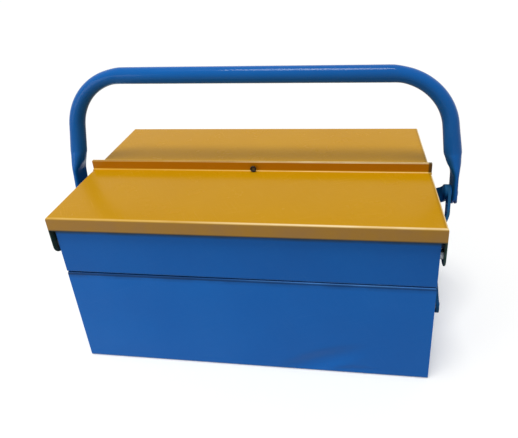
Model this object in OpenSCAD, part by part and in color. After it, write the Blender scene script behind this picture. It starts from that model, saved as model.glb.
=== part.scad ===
/* [Boxes] */
// Length of the lower box and the trays, left to right
box_l = 400; // [320:5:480]
// Depth of the lower box, front to back
box_d = 234; // [216:2:280]
// Height of the lower box
base_h = 127.5; // [115:0.5:150]
// Height of each tray at its outer wall
tray_h = 72; // [66:0.5:85]
// Height of each tray at its inner wall
tray_inner_h = 50; // [36:1:54]
// Thickness of the sheet steel
sheet = 1; // [0.8:0.1:1.2]
// Outer radius of the bends in the sheet
bend_r = 2.5; // [2:0.25:4]
// Height of the folded hem along the top edges
hem_h = 7; // [5:0.5:9]
// Width of the flanges that hold each end plate in its wrap
flange_w = 12; // [8:1:16]

/* [Lids] */
// How far each lid stands out past the end of the trays
lid_over_side = 5; // [4.8:0.1:6]
// How far each lid stands out past the front or back
lid_over_front = 4; // [3:0.5:6]
// Height of the lip and the side flanges of the lids
lip_h = 16.3; // [12:0.1:20]
// Distance from the middle of the box forward to the front face of the front lid's upturn
seam_y = 9.5; // [8:0.5:12]
// Height of the upturned inner edges above the lids' top face
ridge_h = 11.6; // [10:0.1:15]
// Radius of the ears that the lids turn on
ear_r = 12; // [10:0.5:13]
// Distance of the lids' turning axis below their top face
ear_drop = 37; // [32:0.5:40]

/* [Knob] */
// Diameter of the knob's head
knob_d = 7.5; // [6:0.5:7.5]
// How far the knob stands out of the front lid's upturn
knob_out = 4.2; // [3.6:0.1:5]
// Room between the knob and the lid round it
knob_room = 0.3; // [0.2:0.05:1]
// Diameter of the knob's neck
knob_neck_d = 4.5; // [4:0.25:5]
// Diameter of the knob's stud
knob_stud_d = 3; // [2.5:0.5:3.5]

/* [Links] */
// Width of the links
link_w = 18; // [14:1:19]
// Thickness of the links
link_t = 2; // [1.5:0.1:2.2]
// Distance of the outer links' lower rivets from the box's front or back
link_edge = 19; // [17:1:22]
// Distance between the two links of a tray
link_pitch = 36; // [34:1:38]
// Distance from the middle of the box to the upper ends of the inner links
link_split = 3; // [2:0.5:5]
// Distance of the links' lower rivets below the lower box's top edge
link_low = 15.5; // [13:0.5:18]
// Distance of the links' upper rivets above the underside of a tray
link_high = 22; // [18:0.5:24]
// Diameter of the rivets that the links and lids turn on
rivet_d = 5; // [4:0.5:6]
// Diameter of the rivets' heads
rivet_head_d = 9; // [8:0.5:10]
// Thickness of the flat heads outside the links
rivet_head_t = 1.1; // [0.8:0.1:1.1]

/* [Stays] */
// Width of the stays that carry the handle
stay_w = 18; // [16:1:20]
// Thickness of the stays
stay_t = 3; // [2:0.5:3]
// Distance of a stay's lower rivet from the box's front or back
stay_edge = 21; // [18:0.5:24]
// Distance of a stay's lower rivet below the links' lower rivets
stay_low = 23; // [20:0.5:26]
// Length of the straight part past the handle's rivet
stay_top_run = 16; // [12:1:22]
// Distance from the handle's rivet to the end of the slanted part
stay_slant_end = 60; // [52:1:70]
// Diameter of the bushes behind the stays' lower ends
stay_bush_d = 12; // [10:0.5:12]

/* [Handle] */
// Distance of the handle's turning axis below the lids' top face
pivot_drop = 30; // [27:0.5:36]
// Distance from the turning axis to the middle of the grip
arm_l = 141.5; // [135:0.5:160]
// Distance from the middle of the box to the middle of each flattened end
flat_x = 232.6; // [231.8:0.1:240]
// Diameter of the handle's tube
tube_d = 20; // [18:0.5:22]
// Wall thickness of the handle's tube
tube_wall = 1.5; // [1:0.1:2]
// Radius of the handle's bends, at the middle of the tube
tube_bend_r = 68; // [56:1:70]
// Angle at which the legs spread apart toward their ends
leg_splay = 7; // [0:0.5:9]
// Width of the tube's flattened ends
flat_w = 27; // [24:0.5:28.5]
// Thickness of the tube's flattened ends
flat_t = 5.6; // [4:0.2:7]
// Length of the flattened part past the turning axis
flat_l = 20; // [18:1:26]
// Length over which the tube turns from flat to round
taper_l = 30; // [24:1:32]
// Angle at which the handle leans back
lean = 7.5; // [0:0.5:15]
// Diameter of the handle's rivets
handle_rivet_d = 8; // [6:0.5:9]
// Diameter of the heads of the handle's rivets
handle_head_d = 15; // [12:0.5:17]

/* [Gaps] */
// Gap between the lower box and the trays
tray_gap = 0.5; // [0.4:0.1:1]
// Gap between the two trays
tray_split = 3; // [2:0.5:5]
// Gap between the trays' top edges and the lids, which the lids need to swing
lid_gap = 1; // [0.9:0.1:1.5]
// Gap between the two lids' upturned edges
seam_gap = 1.5; // [1.4:0.1:2.5]
// Gap on each side of a piece that turns between two others
side_gap = 0.3; // [0.25:0.05:0.35]
// Radial clearance of a rivet in the hole that turns on it
pin_gap = 0.05; // [0.03:0.01:0.1]

/* [Hidden] */
$fn = 64;
fine = 32;
eps = 0.01;
body_blue = "#1f5ca8";
handle_blue = "#1458b0";
lid_yellow = "#cc9322";
zinc = "#9a9ca0";
black = "#1b1b1a";

front_y = -box_d / 2;
end_x = box_l / 2;
tray_d = box_d / 2 - tray_split / 2;
tray_z = base_h + tray_gap;
tray_top = tray_z + tray_h;
lid_under = tray_top + lid_gap;
lid_top = lid_under + sheet;
lid_front = front_y - lid_over_front;
lid_end = end_x + lid_over_side;
lid_l = 2 * lid_end;
lid_low = lid_top - lip_h;
ear_y = lid_front + ear_r;
ear_z = lid_top - ear_drop;
ridge_top = lid_top + ridge_h;
end_drop = tray_h - tray_inner_h;
hem_notch = 1;

link_x = end_x + side_gap;
link_low_y = front_y + link_edge;
link_low_z = base_h - link_low;
link_run = -link_low_y - link_pitch - link_w / 2 - link_split;
link_high_z = tray_z + link_high;
link_rise = link_high_z - link_low_z;
link_len = sqrt(link_run * link_run + link_rise * link_rise);
link_angle = atan2(link_rise, link_run);
rivet_head_x = link_x + link_t + side_gap;
rivet_hold_t = 1.5;

stay_x = rivet_head_x + rivet_head_t + side_gap;
stay_low_y = front_y + stay_edge;
stay_low_z = link_low_z - stay_low;
pivot_z = lid_top - pivot_drop;
stay_drop = pivot_z - stay_low_z;
stay_len = sqrt(stay_low_y * stay_low_y + stay_drop * stay_drop);
stay_angle = atan2(stay_drop, -stay_low_y);
stay_head_t = 2;

washer_t = 1;
washer_d = 17;
flat_slit = flat_t - 2 * tube_wall;
flat_in_x = flat_x - flat_t / 2;
flat_out_x = flat_x + flat_t / 2;
washer_x = flat_in_x - side_gap - washer_t;
front_stay_top_x = washer_x - stay_t;
rear_stay_top_x = front_stay_top_x - stay_t;
handle_head_t = 2.4;
handle_inner_head_t = 2;
taper_end = flat_l + taper_l;
disc_t = 0.2;
// Each length of the tube is this much thinner than the one it runs into, and this far in it
nest = 0.05;
nest_l = 0.2;
nest_deg = nest_l / tube_bend_r * 180 / PI;
leg_x = flat_x - taper_l * tan(leg_splay);
bend_z = arm_l - tube_bend_r;
leg_l = (bend_z + tube_bend_r * sin(leg_splay) - taper_end) / cos(leg_splay);
bend_x = leg_x - leg_l * sin(leg_splay) - tube_bend_r * cos(leg_splay);

ear_bush_d = 11;
ear_head_t = 1.5;
knob_neck_l = bend_r - sheet / 2;
knob_z = lid_top + max(bend_r - sheet + knob_neck_d / 2, knob_d / 2) + knob_room;
knob_y = -seam_y;
nut_t = 0.5;
nut_d = 7;
stud_end = 0.5;
front_seam = sheet - seam_y;
rear_seam = seam_gap + front_seam;
relief = 1;

// Puts a shape made for the right end at the left or the right end
module on_side(side) {
    if (side < 0) mirror([1, 0, 0]) children();
    else children();
}

// Puts a shape made for the front half at the front or the rear half
module on_half(half) {
    if (half > 0) mirror([0, 1, 0]) children();
    else children();
}

// Extrudes a profile drawn in depth and height along the length of the box
module along_x(x0, x1) {
    translate([x0, 0, 0])
        rotate([90, 0, 90])
            linear_extrude(x1 - x0)
                children();
}

// Extrudes a profile drawn in length and height along the depth of the box
module along_y(y0, y1) {
    translate([0, y1, 0])
        rotate([90, 0, 0])
            linear_extrude(y1 - y0)
                children();
}

// Solid outline of a pan whose front and rear walls may differ in height
module pan_outline(y0, y1, z0, front_h, rear_h, r) {
    mid = (y0 + y1) / 2;
    translate([y0, z0 + r]) square([mid - y0, front_h - r]);
    translate([mid, z0 + r]) square([y1 - mid, rear_h - r]);
    translate([y0 + r, z0]) square([y1 - y0 - 2 * r, r]);
    translate([y0 + r, z0 + r]) circle(r);
    translate([y1 - r, z0 + r]) circle(r);
}

// Hem folded back along the top edge of a wall, with its round fold on top
module hem_profile() {
    translate([sheet, -sheet]) circle(sheet);
    translate([sheet, -hem_h]) square([sheet, hem_h - sheet]);
}

// Front wall, floor and rear wall bent from one sheet, with a hem on each wall
module wrap(y0, y1, z0, front_h, rear_h) {
    along_x(-end_x, end_x) {
        difference() {
            pan_outline(y0, y1, z0, front_h - sheet, rear_h - sheet, bend_r);
            pan_outline(y0 + sheet, y1 - sheet, z0 + sheet, box_d, box_d, bend_r - sheet);
        }
    }
    along_x(-end_x + sheet, end_x - sheet) {
        translate([y0, z0 + front_h]) hem_profile();
        translate([y1, z0 + rear_h]) mirror([1, 0]) hem_profile();
    }
}

// End plate for the right end, with the flanges that are welded into the wrap
module end_plate(y0, y1, z0, front_h, rear_h, slope) {
    in0 = y0 + sheet;
    in1 = y1 - sheet;
    floor_z = z0 + sheet;
    front_in = front_h - sheet;
    rear_in = rear_h - sheet;
    front_flange = front_in - hem_h - hem_notch;
    rear_flange = rear_in - hem_h - hem_notch;
    flange_r = max(bend_r - 2 * sheet, sheet / 4);
    difference() {
        along_x(end_x - sheet, end_x)
            pan_outline(in0, in1, floor_z, front_in, front_in, bend_r - sheet);
        along_x(end_x - 2 * sheet, end_x + sheet)
            translate([in1, z0 + rear_h])
                polygon([[eps, 0], [-slope, slope], [-slope, slope + sheet], [eps, slope + sheet]]);
    }
    along_x(end_x - flange_w, end_x - sheet) {
        difference() {
            pan_outline(in0, in1, floor_z, front_flange, rear_flange, bend_r - sheet);
            translate([0, sheet])
                pan_outline(in0 + sheet, in1 - sheet, floor_z, box_d, box_d, flange_r);
        }
    }
    along_y(in0 + sheet + hem_notch, in1 - max(slope, sheet) - hem_notch)
        translate([end_x, z0 + front_h])
            mirror([1, 0])
                hem_strip();
}

// Hem on the inner face of an end plate
module hem_strip() {
    translate([sheet, -hem_h]) square([sheet, hem_h - sheet]);
    translate([sheet, -sheet]) intersection() {
        circle(sheet);
        square([sheet, sheet]);
    }
}

// Flat bar with round ends, from one hole to the other along local X
module bar_outline(len, w) {
    translate([0, -w / 2]) square([len, w]);
    circle(w / 2);
    translate([len, 0]) circle(w / 2);
}

// Link made for the right end of the front half, on its lower rivet
module link(low_y) {
    translate([link_x, low_y, link_low_z])
        rotate([link_angle, 0, 0])
            rotate([90, 0, 90])
                difference() {
                    linear_extrude(link_t) bar_outline(link_len, link_w);
                    for (at = [0, link_len])
                        translate([at, 0, -eps])
                            cylinder(r = rivet_d / 2 + pin_gap, h = link_t + 2 * eps);
                }
}

// Bent stay with its top hole on the handle's axis
module stay(half, top_x) {
    half_w = stay_w / 2;
    on_half(half)
        translate([0, 0, pivot_z])
            rotate([180 + stay_angle, 0, 0])
                rotate([90, 0, 90])
                    difference() {
                        intersection() {
                            linear_extrude(washer_x)
                                bar_outline(stay_len, stay_w);
                            translate([0, half_w, 0])
                                rotate([90, 0, 0])
                                    linear_extrude(stay_w)
                                        polygon([
                                            [-half_w, top_x],
                                            [stay_top_run, top_x],
                                            [stay_slant_end, stay_x],
                                            [stay_len + half_w, stay_x],
                                            [stay_len + half_w, stay_x + stay_t],
                                            [stay_slant_end, stay_x + stay_t],
                                            [stay_top_run, top_x + stay_t],
                                            [-half_w, top_x + stay_t]
                                        ]);
                        }
                        cylinder(r = handle_rivet_d / 2 + pin_gap, h = flat_x);
                        translate([stay_len, 0, 0])
                            cylinder(r = rivet_d / 2 + pin_gap, h = flat_x);
                    }
}

// Dome with a flat base of radius r and a height h, standing up from the origin
module dome(r, h) {
    ball_r = (r * r + h * h) / (2 * h);
    rotate_extrude()
        intersection() {
            translate([0, h - ball_r]) circle(ball_r);
            square([r, h]);
        }
}

// Rivet along X: a held head inside, a shank, and a domed head outside
module rivet(y, z, inner_x, outer_x, shank_d, inner_d, inner_t, outer_d, outer_t) {
    translate([inner_x, y, z]) rotate([0, -90, 0]) dome(inner_d / 2, inner_t);
    translate([inner_x, y, z]) rotate([0, 90, 0]) cylinder(d = shank_d, h = outer_x - inner_x);
    translate([outer_x, y, z]) rotate([0, 90, 0]) dome(outer_d / 2, outer_t);
}

// Rivet that a link turns on, held in the end plate behind it
module link_rivet(y, z) {
    rivet(y, z, end_x - sheet, rivet_head_x, rivet_d - 2 * eps,
        rivet_head_d, rivet_hold_t, rivet_head_d, rivet_head_t);
}

// Bush round a rivet, between an end plate and the piece outside it
module bush(y, z, length, d) {
    translate([end_x, y, z])
        rotate([0, 90, 0])
            difference() {
                cylinder(d = d, h = length);
                translate([0, 0, -eps]) cylinder(r = rivet_d / 2 + pin_gap, h = length + 2 * eps);
            }
}

// Plate with the two holes of a tray's link rivets and the hole of its lid's rivet
module tray_holes() {
    for (pitch = [0, link_pitch])
        rivet_hole(link_low_y + link_run + pitch, link_high_z);
    rivet_hole(ear_y, ear_z);
}

// Hole through an end plate for a rivet
module rivet_hole(y, z) {
    translate([end_x - flange_w, y, z])
        rotate([0, 90, 0])
            cylinder(r = rivet_d / 2 + pin_gap, h = 2 * flange_w);
}

// Ear of a lid at the right end, with the side flange that it hangs from
module ear() {
    along_x(lid_end - sheet, lid_end) {
        translate([lid_front, ear_z]) square([2 * ear_r, lid_low - ear_z + eps]);
        translate([ear_y, ear_z]) circle(ear_r);
    }
}

// Outline of a lid in depth and height, inset by a wall and open below
module lid_outline(y1, in) {
    r = bend_r - in;
    y0 = lid_front + in;
    translate([y0, ear_z]) square([y1 - y0, lid_top - in - r - ear_z]);
    translate([y0 + r, ear_z]) square([y1 - y0 - r, lid_top - in - ear_z]);
    translate([y0 + r, lid_top - in - r]) circle(r);
}

// Outline of a lid in length and height, inset by a wall and open below
module lid_cross_outline(in) {
    r = bend_r - in;
    half = lid_end - in;
    translate([-half, ear_z]) square([2 * half, lid_top - in - r - ear_z]);
    translate([-half + r, ear_z]) square([2 * half - 2 * r, lid_top - in - ear_z]);
    for (side = [-1, 1]) translate([side * (half - r), lid_top - in - r]) circle(r);
}

// Solid block of a lid with its front and end edges rounded, inset by a wall
module lid_block(y1, in) {
    intersection() {
        along_x(-lid_end + in, lid_end - in) lid_outline(y1, in);
        along_y(lid_front + in, y1) lid_cross_outline(in);
    }
}

// Edge turned up at the seam, with a short flat strip before its bend
module upturn_profile(seam) {
    translate([seam - bend_r, lid_under + bend_r])
        intersection() {
            difference() {
                circle(bend_r);
                circle(bend_r - sheet);
            }
            translate([0, -bend_r]) square(bend_r);
        }
    translate([seam - bend_r - sheet, lid_under]) square([sheet + eps, sheet]);
    translate([seam - sheet, lid_under + bend_r - eps])
        square([sheet, ridge_h + sheet / 2 - bend_r + eps]);
    translate([seam - sheet / 2, ridge_top - sheet / 2]) circle(sheet / 2);
}

// Lid for the front half, with its ears and the edge that turns up at the seam
module lid(seam) {
    shell_end = seam - bend_r - sheet - relief;
    neck = lid_end - bend_r - relief;
    difference() {
        union() {
            difference() {
                lid_block(shell_end, 0);
                lid_block(shell_end + sheet, sheet);
                translate([-lid_end - sheet, lid_front - sheet, ear_z - sheet])
                    cube([lid_l + 2 * sheet, shell_end - lid_front + 2 * sheet, lid_low - ear_z + sheet]);
            }
            translate([-neck, shell_end - sheet, lid_under])
                cube([2 * neck, sheet + relief + eps, sheet]);
            along_x(-lid_end, lid_end) upturn_profile(seam);
            for (side = [-1, 1]) on_side(side) ear();
        }
        ear_holes();
    }
}

// Hole through both ears of a lid
module ear_holes() {
    translate([-lid_end - sheet, ear_y, ear_z])
        rotate([0, 90, 0])
            cylinder(r = rivet_d / 2 + pin_gap, h = lid_l + 2 * sheet);
}

// Half of the handle's tube, from the middle of the grip to the lower end of its leg
module tube_path(r) {
    translate([0, 0, arm_l])
        rotate([0, 90, 0])
            cylinder(r = r, h = bend_x);
    translate([bend_x, 0, bend_z])
        rotate([0, -leg_splay, 0]) {
            rotate([90, 0, 0])
                rotate_extrude(angle = 90 - leg_splay + nest_deg)
                    translate([tube_bend_r, 0]) circle(r - nest);
            translate([tube_bend_r, 0, -leg_l]) cylinder(r = r - nest, h = leg_l);
        }
}

// Tube turning from round to flat, for a radius r and a flat of w by t
module tube_taper(r, w, t) {
    hull() {
        translate([leg_x, 0, taper_end])
            rotate([0, -leg_splay, 0])
                translate([0, 0, -disc_t])
                    cylinder(r = r - 2 * nest, h = disc_t + nest_l, $fn = fine);
        translate([flat_x, 0, flat_l])
            linear_extrude(disc_t) flat_section(w, t);
    }
}

// Section of the flattened tube, with round edges
module flat_section(w, t) {
    square([t, w - t], center = true);
    for (side = [-1, 1]) translate([0, side * (w - t) / 2]) circle(t / 2, $fn = fine);
}

// Flattened end of the tube with its round tip
module tube_flat() {
    intersection() {
        translate([flat_x, 0, -flat_w / 2])
            linear_extrude(flat_w / 2 + flat_l) flat_section(flat_w, flat_t);
        translate([flat_in_x, 0, 0])
            rotate([90, 0, 90])
                linear_extrude(flat_t) {
                    translate([-flat_w / 2, 0]) square([flat_w, flat_l]);
                    circle(flat_w / 2);
                }
    }
}

// Slot left inside the flattened end, open at the tip
module tube_slot() {
    translate([flat_x, 0, -flat_w])
        linear_extrude(flat_w + flat_l)
            flat_section(flat_w - 2 * tube_wall, flat_slit);
}

module lower_box_wrap() {
    color(body_blue) wrap(front_y, -front_y, 0, base_h, base_h);
}

module lower_end(side) {
    color(body_blue)
        on_side(side)
            difference() {
                end_plate(front_y, -front_y, 0, base_h, base_h, 0);
                for (half = [-1, 1])
                    on_half(half) {
                        rivet_hole(link_low_y, link_low_z);
                        rivet_hole(link_low_y + link_pitch, link_low_z);
                        rivet_hole(stay_low_y, stay_low_z);
                    }
            }
}

module front_stay(side) {
    color(handle_blue) on_side(side) stay(-1, front_stay_top_x);
}

module rear_stay(side) {
    color(handle_blue) on_side(side) stay(1, rear_stay_top_x);
}

module stay_bushes() {
    color(zinc)
        for (side = [-1, 1], half = [-1, 1])
            on_side(side) on_half(half)
                bush(stay_low_y, stay_low_z, stay_x - end_x, stay_bush_d);
}

module stay_rivets() {
    color(handle_blue)
        for (side = [-1, 1], half = [-1, 1])
            on_side(side) on_half(half)
                rivet(stay_low_y, stay_low_z, end_x - sheet, stay_x + stay_t,
                    rivet_d, rivet_head_d, rivet_hold_t, rivet_head_d, stay_head_t);
}

module handle_rivets() {
    color(handle_blue)
        for (side = [-1, 1])
            on_side(side)
                rivet(0, pivot_z, rear_stay_top_x, flat_out_x + side_gap, handle_rivet_d,
                    handle_head_d, handle_inner_head_t, handle_head_d, handle_head_t);
}

module handle_washers() {
    color(handle_blue)
        for (side = [-1, 1])
            on_side(side)
                translate([washer_x, 0, pivot_z])
                    rotate([0, 90, 0])
                        difference() {
                            cylinder(d = washer_d, h = washer_t);
                            translate([0, 0, -eps])
                                cylinder(r = handle_rivet_d / 2 + pin_gap, h = washer_t + 2 * eps);
                        }
}

module link_rivets() {
    color(zinc)
        for (side = [-1, 1], half = [-1, 1], pitch = [0, link_pitch])
            on_side(side) on_half(half)
                link_rivet(link_low_y + pitch, link_low_z);
}

module outer_link(half, side) {
    color(body_blue) on_side(side) on_half(half) link(link_low_y);
}

module inner_link(half, side) {
    color(body_blue) on_side(side) on_half(half) link(link_low_y + link_pitch);
}

module tray_wrap(half) {
    color(body_blue)
        on_half(half)
            wrap(front_y, front_y + tray_d, tray_z, tray_h, tray_inner_h);
}

module tray_end(half, side) {
    color(body_blue)
        on_side(side) on_half(half)
            difference() {
                end_plate(front_y, front_y + tray_d, tray_z, tray_h, tray_inner_h, end_drop);
                tray_holes();
            }
}

module tray_rivets(half) {
    color(zinc)
        for (side = [-1, 1], pitch = [0, link_pitch])
            on_side(side) on_half(half)
                link_rivet(link_low_y + link_run + pitch, link_high_z);
}

module lid_bushes(half) {
    color(zinc)
        for (side = [-1, 1])
            on_side(side) on_half(half)
                bush(ear_y, ear_z, lid_over_side - sheet - side_gap, ear_bush_d);
}

module lid_rivets(half) {
    color(zinc)
        for (side = [-1, 1])
            on_side(side) on_half(half)
                rivet(ear_y, ear_z, end_x - sheet, lid_end + side_gap,
                    rivet_d, rivet_head_d, rivet_hold_t, rivet_head_d, ear_head_t);
}

module front_lid() {
    color(lid_yellow)
        difference() {
            lid(front_seam);
            translate([0, knob_y - knob_out, knob_z])
                rotate([-90, 0, 0])
                    cylinder(r = knob_stud_d / 2 + pin_gap, h = knob_out + 2 * sheet);
        }
}

module rear_lid() {
    color(lid_yellow) on_half(1) lid(-rear_seam);
}

module knob() {
    head_t = knob_out - knob_neck_l;
    color(black)
        translate([0, knob_y, knob_z])
            rotate([90, 0, 0]) {
                cylinder(d = knob_neck_d, h = knob_neck_l);
                translate([0, 0, knob_neck_l]) cylinder(d = knob_d, h = head_t / 2);
                translate([0, 0, knob_neck_l + head_t / 2]) dome(knob_d / 2, head_t / 2);
                translate([0, 0, -sheet - nut_t - stud_end])
                    cylinder(d = knob_stud_d, h = sheet + nut_t + stud_end);
            }
}

module knob_nut() {
    color(zinc)
        translate([0, knob_y + sheet, knob_z])
            rotate([-90, 0, 0])
                difference() {
                    cylinder(d = nut_d, h = nut_t);
                    translate([0, 0, -eps])
                        cylinder(r = knob_stud_d / 2 + pin_gap, h = nut_t + 2 * eps);
                }
}

module handle_tube() {
    color(handle_blue)
        translate([0, 0, pivot_z])
            rotate([-lean, 0, 0])
                for (side = [-1, 1])
                    on_side(side)
                        difference() {
                            union() {
                                tube_path(tube_d / 2);
                                tube_taper(tube_d / 2, flat_w, flat_t);
                                tube_flat();
                            }
                            tube_path(tube_d / 2 - tube_wall);
                            tube_taper(tube_d / 2 - tube_wall, flat_w - 2 * tube_wall, flat_slit);
                            tube_slot();
                            rotate([0, 90, 0])
                                cylinder(r = handle_rivet_d / 2 + pin_gap, h = 2 * flat_x);
                        }
}

lower_box_wrap();
lower_end(-1);  // lower_end_left
lower_end(1);  // lower_end_right
front_stay(-1);  // front_stay_left
front_stay(1);  // front_stay_right
rear_stay(-1);  // rear_stay_left
rear_stay(1);  // rear_stay_right
stay_bushes();
stay_rivets();
handle_rivets();
handle_washers();
link_rivets();
outer_link(-1, -1);  // front_outer_link_left
outer_link(-1, 1);  // front_outer_link_right
inner_link(-1, -1);  // front_inner_link_left
inner_link(-1, 1);  // front_inner_link_right
outer_link(1, -1);  // rear_outer_link_left
outer_link(1, 1);  // rear_outer_link_right
inner_link(1, -1);  // rear_inner_link_left
inner_link(1, 1);  // rear_inner_link_right
tray_wrap(-1);  // front_tray_wrap
tray_end(-1, -1);  // front_tray_end_left
tray_end(-1, 1);  // front_tray_end_right
tray_rivets(-1);  // front_tray_rivets
lid_bushes(-1);  // front_lid_bushes
lid_rivets(-1);  // front_lid_rivets
tray_wrap(1);  // rear_tray_wrap
tray_end(1, -1);  // rear_tray_end_left
tray_end(1, 1);  // rear_tray_end_right
tray_rivets(1);  // rear_tray_rivets
lid_bushes(1);  // rear_lid_bushes
lid_rivets(1);  // rear_lid_rivets
front_lid();
rear_lid();
knob();
knob_nut();
handle_tube();
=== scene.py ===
import math

import bmesh
import bpy
from bpy.props import FloatProperty, FloatVectorProperty, PointerProperty
from mathutils import Matrix, Vector


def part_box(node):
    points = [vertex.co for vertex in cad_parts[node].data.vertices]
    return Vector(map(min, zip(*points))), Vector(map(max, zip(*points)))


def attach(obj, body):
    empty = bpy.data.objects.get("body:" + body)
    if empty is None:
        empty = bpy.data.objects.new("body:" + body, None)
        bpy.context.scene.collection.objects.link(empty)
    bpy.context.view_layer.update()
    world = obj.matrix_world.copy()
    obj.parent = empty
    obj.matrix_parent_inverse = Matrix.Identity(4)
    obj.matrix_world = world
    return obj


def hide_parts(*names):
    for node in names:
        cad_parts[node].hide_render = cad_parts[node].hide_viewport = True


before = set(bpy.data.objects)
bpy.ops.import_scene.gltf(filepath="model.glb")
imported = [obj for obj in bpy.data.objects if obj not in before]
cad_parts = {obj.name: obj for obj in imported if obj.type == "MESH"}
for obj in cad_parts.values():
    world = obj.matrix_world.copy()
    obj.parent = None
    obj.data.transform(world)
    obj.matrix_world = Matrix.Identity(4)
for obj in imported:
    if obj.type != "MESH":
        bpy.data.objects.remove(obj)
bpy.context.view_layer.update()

bl_info = {
    "name": "Steel cantilever toolbox",
    "version": (1, 0, 0),
    "blender": (4, 5, 0),
    "location": "3D View > Sidebar > Toolbox",
    "description": "Dresses the toolbox's frame with enamel, zinc and worn edges",
    "category": "Object",
}

MM = 0.001

# The frame's nodes, by their finish

BODY_NODES = (
    "lower_box_wrap", "lower_end_left", "lower_end_right",
    "front_tray_wrap", "front_tray_end_left", "front_tray_end_right",
    "rear_tray_wrap", "rear_tray_end_left", "rear_tray_end_right",
)
LINK_NODES = tuple(
    f"{half}_{place}_link_{side}"
    for half in ("front", "rear")
    for place in ("outer", "inner")
    for side in ("left", "right")
)
STAY_NODES = tuple(f"{half}_stay_{side}" for half in ("front", "rear") for side in ("left", "right"))
LID_NODES = ("front_lid", "rear_lid")
PAINTED_RIVET_NODES = ("stay_rivets", "handle_rivets", "handle_washers")
ZINC_NODES = (
    "stay_bushes", "link_rivets", "front_tray_rivets", "front_lid_bushes", "front_lid_rivets",
    "rear_tray_rivets", "rear_lid_bushes", "rear_lid_rivets", "knob_nut",
)

# Places that the marks on the enamel follow

# The lower box's upper edge, which the trays come down on
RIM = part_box("lower_end_right")[1][2]
# Outer faces of the boxes' end walls and of their front and rear walls, which are 1 mm thick
WALL_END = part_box("lower_end_right")[1][0]
WALL_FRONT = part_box("lower_box_wrap")[1][1]
# The knob hangs 0.3 mm above the lids' top sheet, and the lips hang 16.3 mm below it
LID_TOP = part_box("knob")[0][2] - 0.3 * MM
LIP_LOW = LID_TOP - 16.3 * MM
RIDGE_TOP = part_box("rear_lid")[1][2]
RIDGE_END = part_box("rear_lid")[1][0]

# Sizes of the handle and its stays that their rivets and the lids fix

HANDLE_PIVOT = Vector((0, 0, 172)) * MM
# How far the handle leans back at rest
HANDLE_LEAN = math.radians(7.5)
# From the rivets to the middle of the grip
ARM_LENGTH = 141.5 * MM
# The flattened ends' distance from the middle, and what the press made flat and tapered
FLAT_MIDDLE = 232.6 * MM
FLAT_LENGTH = 20 * MM
TAPER_LENGTH = 30 * MM
# How far each leg leans in
LEG_SPLAY = math.radians(7)
# Share of the way down the taper and how flat the press has made the tube there
TAPER_SHAPE = ((0, 0), (0.2, 0.15), (0.47, 0.36), (0.7, 0.72), (0.9, 0.96), (1, 1))
# Points round the tube's section
SECTION_POINTS = 56
# Where the front stays' lower rivets are, along Y and Z
STAY_FOOT = (-96 * MM, 89 * MM)
# How long a stay takes to lean in, below the handle's rivet
LEAN_LENGTH = 40 * MM
# Radii of the holes for the handle's rivets and for the stays' lower rivets
HANDLE_RIVET_HOLE = 4.05 * MM
STAY_FOOT_HOLE = 2.55 * MM
# Points round a hole, and along the half circle of a flattened end's tip
ROUND_POINTS = 40


class ToolboxSizes(bpy.types.PropertyGroup):
    """Sizes of the looks that the frame doesn't hold."""

    tube_diameter: FloatProperty(
        name="Tube diameter", description="Diameter of the handle's round tube",
        default=20 * MM, min=16 * MM, max=22 * MM, unit="LENGTH", subtype="DISTANCE",
    )
    tube_wall: FloatProperty(
        name="Tube wall", description="Wall of the handle's tube",
        default=1.5 * MM, min=1 * MM, max=2 * MM, unit="LENGTH", subtype="DISTANCE",
    )
    flat_width: FloatProperty(
        name="Flat width", description="Width of the handle's flattened ends",
        default=27 * MM, min=24 * MM, max=28.5 * MM, unit="LENGTH", subtype="DISTANCE",
    )
    flat_thickness: FloatProperty(
        name="Flat thickness", description="Thickness of the handle's flattened ends",
        default=5.6 * MM, min=4 * MM, max=7 * MM, unit="LENGTH", subtype="DISTANCE",
    )
    bend_radius: FloatProperty(
        name="Bend radius", description="Radius of the handle's bends at the middle of the tube",
        default=68 * MM, min=56 * MM, max=70 * MM, unit="LENGTH", subtype="DISTANCE",
    )
    bend_flattening: FloatProperty(
        name="Bend flattening", description="How much thinner the tube is where it was bent",
        default=1.4 * MM, min=0, max=3 * MM, unit="LENGTH", subtype="DISTANCE",
    )
    grip_tilt: FloatProperty(
        name="Grip tilt", description="How much higher the grip stands at its left bend than in its middle",
        default=1.7 * MM, min=0, max=4 * MM, unit="LENGTH", subtype="DISTANCE",
    )
    stay_width: FloatProperty(
        name="Stay width", description="Width of the handle's stays",
        default=18 * MM, min=16 * MM, max=20 * MM, unit="LENGTH", subtype="DISTANCE",
    )
    stay_thickness: FloatProperty(
        name="Stay thickness", description="Thickness of the handle's stays",
        default=3 * MM, min=2 * MM, max=3 * MM, unit="LENGTH", subtype="DISTANCE",
    )
    front_stay_bend: FloatProperty(
        name="Front stay's bend", description="Where the front stays start to bend, from the handle's rivet",
        default=27 * MM, min=10 * MM, max=40 * MM, unit="LENGTH", subtype="DISTANCE",
    )
    front_stay_lean: FloatProperty(
        name="Front stay's lean", description="How far the front stays lean in above their bend",
        default=4 * MM, min=0, max=6 * MM, unit="LENGTH", subtype="DISTANCE",
    )
    rear_stay_bend: FloatProperty(
        name="Rear stay's bend", description="Where the rear stays start to bend, from the handle's rivet",
        default=10 * MM, min=8 * MM, max=40 * MM, unit="LENGTH", subtype="DISTANCE",
    )
    joggle_length: FloatProperty(
        name="Joggle length", description="How long the bend of a stay is",
        default=40 * MM, min=30 * MM, max=50 * MM, unit="LENGTH", subtype="DISTANCE",
    )
    orange_peel: FloatProperty(
        name="Orange peel", description="Depth of the enamel's orange peel",
        default=0.02 * MM, min=0, max=0.2 * MM, unit="LENGTH", subtype="DISTANCE",
    )


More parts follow.
